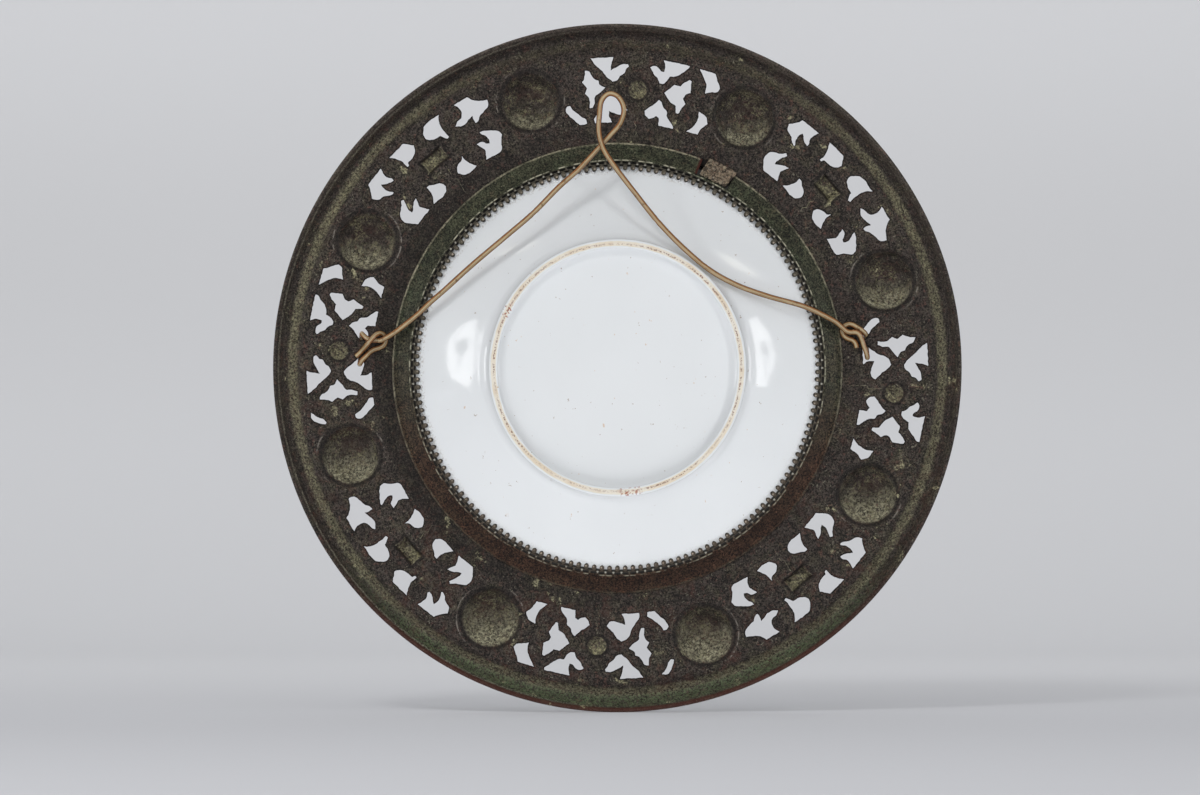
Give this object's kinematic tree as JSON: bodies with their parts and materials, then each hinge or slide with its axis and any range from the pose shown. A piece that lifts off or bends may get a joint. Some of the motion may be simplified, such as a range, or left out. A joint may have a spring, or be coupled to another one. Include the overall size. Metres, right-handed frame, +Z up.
{
  "type": "wall plate",
  "caption": "Round wall plate: a glazed porcelain dish in a pierced cast metal rim with domed bosses, a toothed strip behind the dish and a stiff wire loop to hang it.",
  "frame": {"origin": "on the plate's axis, midway in depth between the foot ring's ground and the fronts of the bosses", "axes": "+Z up as the plate hangs, +Y toward the display side, -Y toward the wall, +X to the right as seen from behind"},
  "size_m": [0.3, 0.0336, 0.3],
  "materials": {
    "porcelain": "glossy cool white glaze, unglazed cream line on the foot ring",
    "aged_casting": "dark brown patina with dull olive specks, worn along the edges",
    "aged_strip": "dark patina with green tarnish",
    "soldered_splice": "rough, crusted with pale tarnish",
    "tan_wire": "glossy tan lacquer"
  },
  "bodies": {
    "plate": {"porcelain_plate": "porcelain", "pierced_rim": "aged_casting", "gallery_strip": "aged_strip", "strip_splice": "soldered_splice", "left_wire_tie": "tan_wire", "right_wire_tie": "tan_wire"},
    "hanger": {"hanging_wire": "tan_wire"}
  },
  "joints": [
    {"name": "hanger_swing", "type": "hinge", "parent": "plate", "child": "hanger", "pos_m": [-0.0012, -0.0005, 0.0138], "axis": [0.9998, 0, 0.0174], "range_deg": [0, 105]}
  ]
}
